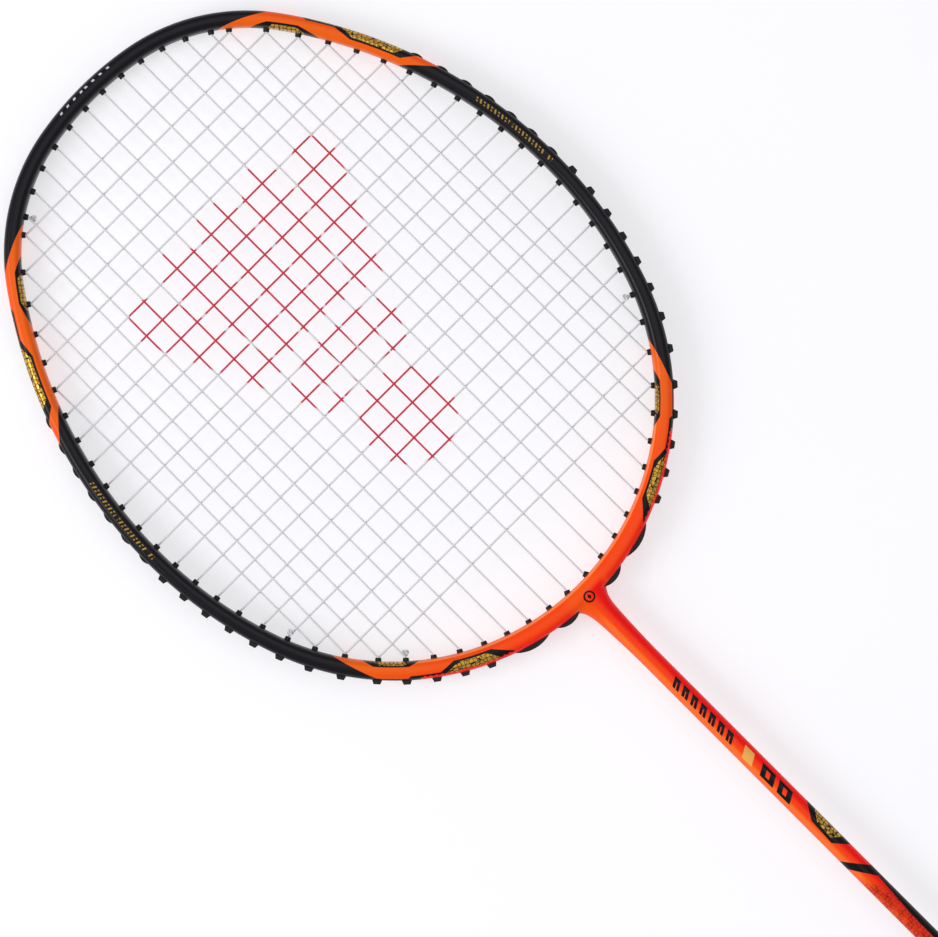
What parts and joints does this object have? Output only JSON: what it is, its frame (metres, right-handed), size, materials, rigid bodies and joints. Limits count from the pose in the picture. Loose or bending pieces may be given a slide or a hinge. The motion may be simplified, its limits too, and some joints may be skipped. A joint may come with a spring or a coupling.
{
  "type": "badminton racket",
  "caption": "Badminton racket with a rounded strung hoop, slim straight shaft, tapered cone and eight-sided wrapped handle.",
  "frame": {"origin": "centre of the butt's end face, on the racket's long axis", "axes": "+X along the shaft towards the tip of the head, +Y across the string bed, +Z square to the string bed"},
  "size_m": [0.675, 0.2018, 0.0282],
  "materials": {
    "frame_paint": "gloss lacquer over carbon fibre, black with orange and gold panels",
    "shaft_paint": "gloss orange lacquer over carbon fibre",
    "grommet_nylon": "satin black nylon",
    "string": "white multifilament string with a clear coat",
    "joint_core": "plain",
    "handle_wood": "plain sanded",
    "cone_plastic": "satin black",
    "butt_plastic": "fine texture",
    "badge": "gloss, plain",
    "grip_wrap": "tacky perforated synthetic leather",
    "tape": "satin tape",
    "steel": "plain steel wire"
  },
  "bodies": {
    "root": {"head_frame": "frame_paint", "throat_cone": "shaft_paint", "shaft": "shaft_paint", "t_joint": "joint_core", "tip_grommet_strip": "grommet_nylon", "corner_grommets": "grommet_nylon", "dome_grommets": "grommet_nylon", "saddle_grommets": "grommet_nylon", "throat_inner_grommets": "grommet_nylon", "throat_outer_grommets": "grommet_nylon", "main_string": "string", "cross_string": "string", "main_knots": "string", "cross_knots": "string", "handle_core": "handle_wood", "shaft_pin": "steel", "cone_cap": "cone_plastic", "butt_cap": "butt_plastic", "butt_badge": "badge", "butt_brads": "steel", "base_grip": "grip_wrap", "finishing_tape": "tape"}
  },
  "joints": []
}
